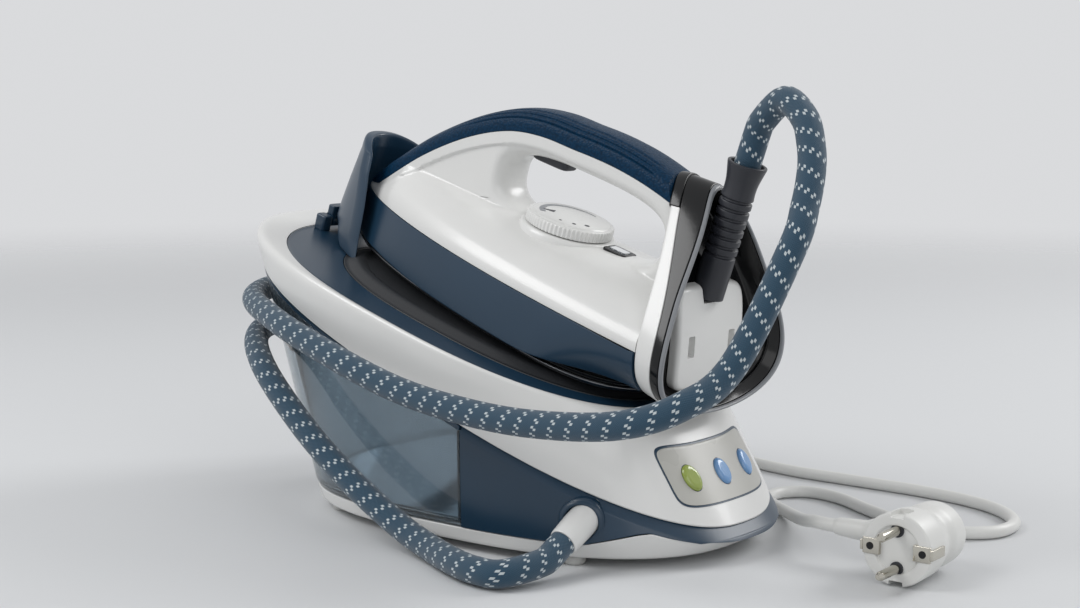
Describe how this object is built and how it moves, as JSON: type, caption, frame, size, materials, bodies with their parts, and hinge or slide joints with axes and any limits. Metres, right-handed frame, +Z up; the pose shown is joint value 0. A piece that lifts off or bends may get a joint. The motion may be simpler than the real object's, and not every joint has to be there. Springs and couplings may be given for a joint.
{
  "type": "steam generator iron",
  "caption": "Steam iron resting on the sloping deck of a base with boiler, pull-out water tank, tilting lock arm, steam hose and mains cord with round plug.",
  "frame": {"origin": "on the floor under the middle of base and iron, cords and glands left out", "axes": "+X from the water tank toward the control panel and the heel of the iron, +Z up, -Y the side where the hose enters the base"},
  "size_m": [0.4451, 0.4166, 0.2435],
  "materials": {
    "white_plastic": "glossy",
    "navy_plastic": "semi-gloss",
    "rest_grey": "matt, heat proof",
    "black_plastic": "glossy",
    "light_grey": "satin",
    "smoky_clear": "clear tinted plastic",
    "steel": "brushed",
    "nickel": "plated",
    "soft_grip": "grained",
    "black_rubber": "matt",
    "green": "glossy",
    "blue": "glossy",
    "hose_braid": "woven braid",
    "white_cable": "smooth",
    "board": "lacquered",
    "aluminium": "cast"
  },
  "bodies": {
    "base": {"base_tray": "white_plastic", "foot_front_near": "black_rubber", "foot_front_far": "black_rubber", "foot_back_near": "black_rubber", "foot_back_far": "black_rubber", "lower_casing": "navy_plastic", "upper_shell": "white_plastic", "deck_rim": "navy_plastic", "deck_rest": "rest_grey", "rest_pad_front": "black_rubber", "rest_pad_near": "black_rubber", "rest_pad_far": "black_rubber", "panel_fascia": "light_grey", "control_board": "board", "board_post_near": "light_grey", "board_post_far": "light_grey", "bulkhead": "light_grey", "tank_socket": "light_grey", "boiler": "steel", "boiler_heater": "black_plastic", "boiler_cradle": "rest_grey", "water_pump": "rest_grey", "steam_valve": "steel", "hose_gland": "light_grey", "mains_gland": "light_grey", "lock_pin": "steel", "lock_lug_near": "navy_plastic", "lock_lug_far": "navy_plastic", "plug_body": "white_plastic", "plug_pin_low": "nickel", "plug_pin_high": "nickel", "earth_clip_left": "nickel", "earth_clip_right": "nickel", "plug_relief": "white_cable", "steam_hose": "hose_braid", "mains_cord": "white_cable"},
    "tank": {"water_tank": "smoky_clear", "tank_grip": "white_plastic", "tank_lid": "navy_plastic", "tank_valve": "rest_grey"},
    "lock_arm": {"lock_arm": "navy_plastic"},
    "button_eco": {"button_eco": "green"},
    "button_power": {"button_power": "blue"},
    "button_refill": {"button_refill": "blue"},
    "iron": {"soleplate": "steel", "heater_casting": "aluminium", "insulator": "black_plastic", "skirt": "navy_plastic", "body_shell": "white_plastic", "grip": "soft_grip", "thermostat": "steel", "indicator_lens": "smoky_clear", "rear_band": "white_plastic", "heel_cover": "black_plastic", "heel_rim": "light_grey", "hose_housing": "white_plastic", "hose_boot": "black_rubber"},
    "dial": {"dial": "white_plastic", "dial_shaft": "steel"},
    "trigger": {"trigger": "black_rubber"}
  },
  "joints": [
    {"name": "tank_slide", "type": "slide", "parent": "base", "child": "tank", "axis": [-1, 0, 0], "range_m": [0, 0.15], "deforming": ["steam_hose"]},
    {"name": "lock_arm_hinge", "type": "hinge", "parent": "base", "child": "lock_arm", "pos_m": [-0.13304, 0, 0.16382], "axis": [0, -1, 0], "range_deg": [0, 35]},
    {"name": "iron_lift", "type": "slide", "parent": "base", "child": "iron", "axis": [0.6, 0, 0.8], "range_m": [0, 0.1], "deforming": ["steam_hose"]},
    {"name": "dial_turn", "type": "hinge", "parent": "iron", "child": "dial", "pos_m": [0.0434, 0, 0.16642], "axis": [0.309, 0, 0.9511], "range_deg": [0, 270]},
    {"name": "trigger_press", "type": "slide", "parent": "iron", "child": "trigger", "axis": [0.309, 0, 0.9511], "range_m": [0, 0.004], "stiffness_N_per_m": 600, "springref_m": -0.002},
    {"name": "button_eco_press", "type": "slide", "parent": "base", "child": "button_eco", "axis": [-0.8253, 0.1639, -0.5404], "range_m": [0, 0.0012], "stiffness_N_per_m": 800, "springref_m": -0.001},
    {"name": "button_power_press", "type": "slide", "parent": "base", "child": "button_power", "axis": [-0.8328, -0.0017, -0.5535], "range_m": [0, 0.0012], "stiffness_N_per_m": 800, "springref_m": -0.001},
    {"name": "button_refill_press", "type": "slide", "parent": "base", "child": "button_refill", "axis": [-0.8239, -0.1742, -0.5393], "range_m": [0, 0.0012], "stiffness_N_per_m": 800, "springref_m": -0.001}
  ]
}
